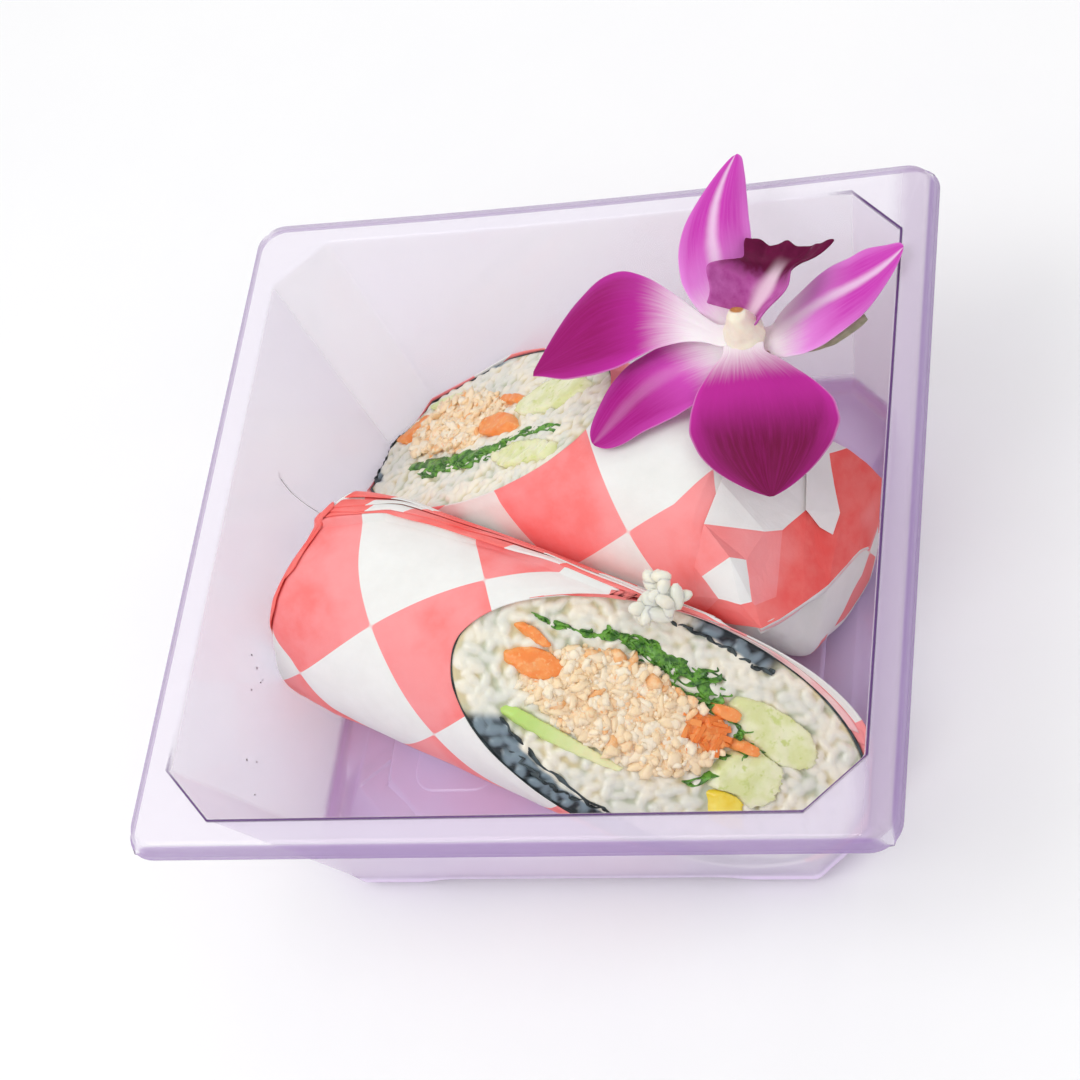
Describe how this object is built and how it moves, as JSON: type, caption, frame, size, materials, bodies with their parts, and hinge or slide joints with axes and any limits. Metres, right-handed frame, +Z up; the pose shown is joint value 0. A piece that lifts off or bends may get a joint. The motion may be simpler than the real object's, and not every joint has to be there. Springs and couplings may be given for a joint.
{
  "type": "sushi burrito in tray",
  "caption": "Sushi burrito cut on the slant, its halves in checked paper side by side in a tinted clear plastic tray, with an orchid flower on top",
  "frame": {"origin": "centre of the tray's footprint, on the plane its feet stand on", "axes": "+Z up, -Y the tray side nearest the viewer, +X to the right of it"},
  "size_m": [0.2, 0.2, 0.0924],
  "materials": {
    "tinted_plastic": "clear plastic sheet with a lavender tint",
    "checked_paper": "coral and white checked food paper, matt with soft creases",
    "nori": "damp seaweed sheet",
    "rice": "moist sushi rice",
    "crab": "shredded crab salad, crumbly and moist",
    "carrot": "raw cut carrot",
    "leaf": "wet dark green leaf",
    "avocado": "cut avocado",
    "cucumber": "cut cucumber, wet and pale green",
    "pickle": "yellow pickled radish",
    "petal": "magenta petal that fades to white at its base",
    "lip": "dark maroon petal, velvety",
    "column": "cream flower column",
    "stem": "grey-green flower stem"
  },
  "bodies": {
    "root": {"tray": "tinted_plastic", "front_wrap": "checked_paper", "back_wrap": "checked_paper", "front_nori": "nori", "back_nori": "nori", "front_rice": "rice", "back_rice": "rice", "stray_rice": "rice", "front_crab": "crab", "back_crab": "crab", "front_carrot_bar": "carrot", "front_carrot_strip": "carrot", "front_carrot_dice_a": "carrot", "front_carrot_dice_b": "carrot", "front_carrot_shreds": "carrot", "back_carrot_bar": "carrot", "back_carrot_strip": "carrot", "back_carrot_end": "carrot", "front_greens": "leaf", "back_greens": "leaf", "front_avocado": "avocado", "back_avocado": "avocado", "front_cucumber_a": "cucumber", "front_cucumber_b": "cucumber", "back_cucumber": "cucumber", "back_lettuce": "cucumber", "front_pickle": "pickle", "orchid_sepal_top": "petal", "orchid_petal_left": "petal", "orchid_sepal_low": "petal", "orchid_petal_bottom": "petal", "orchid_sepal_right": "petal", "orchid_lip": "lip", "orchid_column": "column", "orchid_stem": "stem"}
  },
  "joints": []
}
